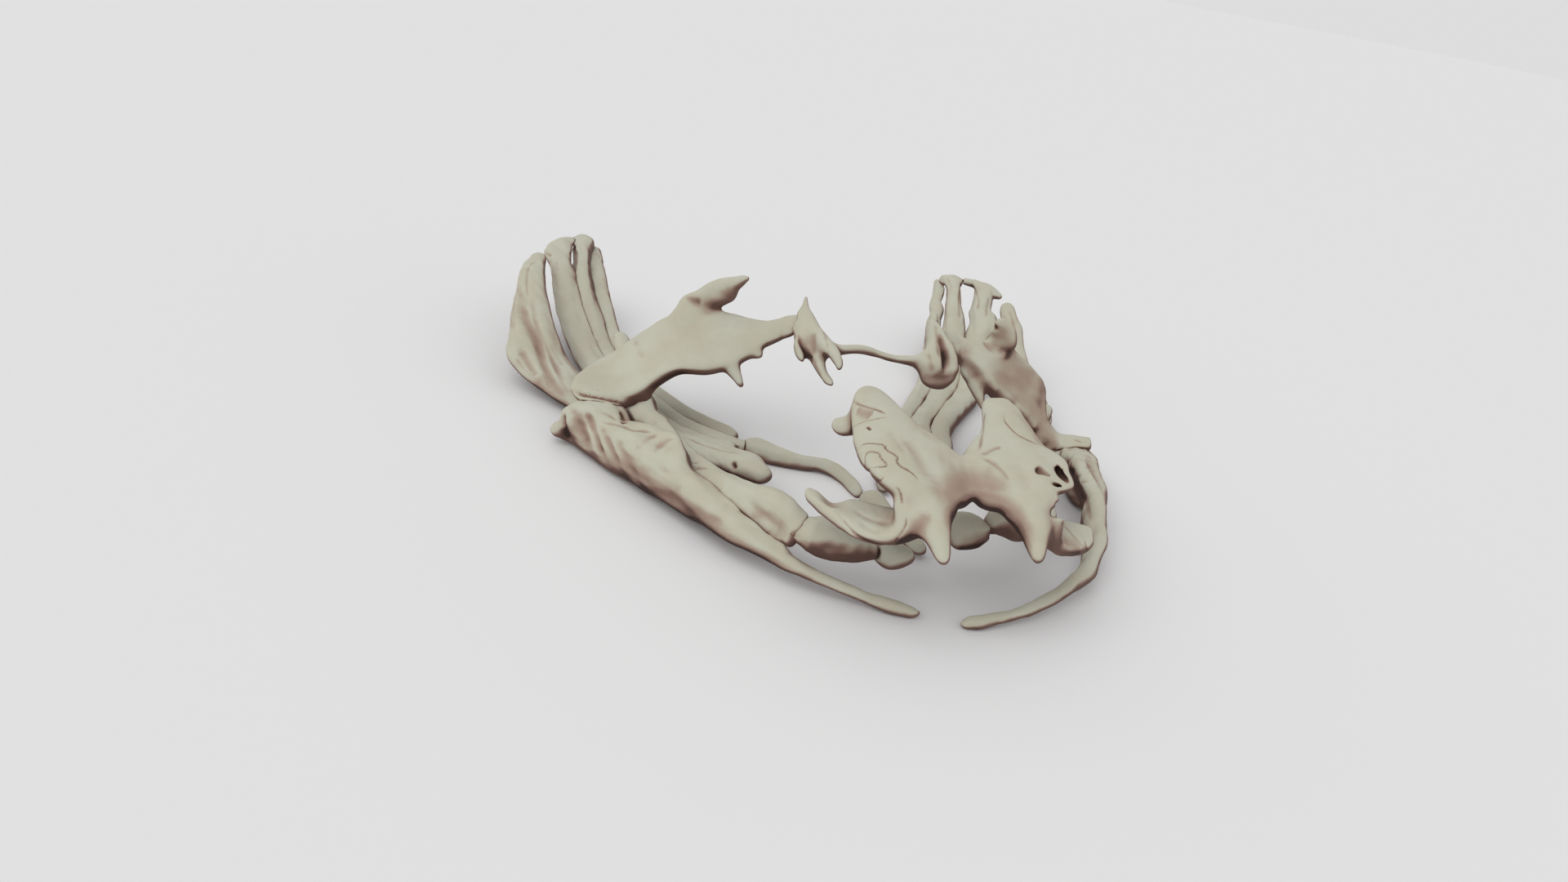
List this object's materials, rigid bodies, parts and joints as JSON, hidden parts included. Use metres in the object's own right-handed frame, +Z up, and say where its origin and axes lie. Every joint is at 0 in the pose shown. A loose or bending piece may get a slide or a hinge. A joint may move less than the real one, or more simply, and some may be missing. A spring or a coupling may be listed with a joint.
{
  "type": "axolotl head skeleton",
  "caption": "Cartilage head skeleton of an axolotl, laid belly down: nose capsules, lower jaws, jaw plates, hind blocks, tongue arch and fanned gill bars.",
  "frame": {"origin": "middle of the model's bounding box in plan, at the floor it rests on", "axes": "-Y the way the snout points, +X the animal's left, +Z up"},
  "size_m": [0.0338, 0.0378, 0.0094],
  "materials": {
    "cartilage": "matte, pale greenish beige with brown hollows",
    "steel": "satin"
  },
  "bodies": {
    "root": {"ethmoid": "cartilage", "occipital_bridge": "cartilage", "suspensorium_right": "cartilage", "suspensorium_left": "cartilage", "meckel_right": "cartilage", "meckel_left": "cartilage", "ceratohyal_right": "cartilage", "ceratohyal_left": "cartilage", "hypohyal_right": "cartilage", "hypohyal_left": "cartilage", "hypohyal_knob_right": "cartilage", "hypohyal_knob_left": "cartilage", "basibranchial": "cartilage", "hypobranchial_right": "cartilage", "hypobranchial_left": "cartilage", "ceratobranchial_1_right": "cartilage", "ceratobranchial_2_right": "cartilage", "ceratobranchial_3_right": "cartilage", "ceratobranchial_4_right": "cartilage", "ceratobranchial_1_left": "cartilage", "ceratobranchial_2_left": "cartilage", "ceratobranchial_3_left": "cartilage", "ceratobranchial_4_left": "cartilage", "stand_pin_right": "steel", "stand_pin_left": "steel"}
  },
  "joints": []
}
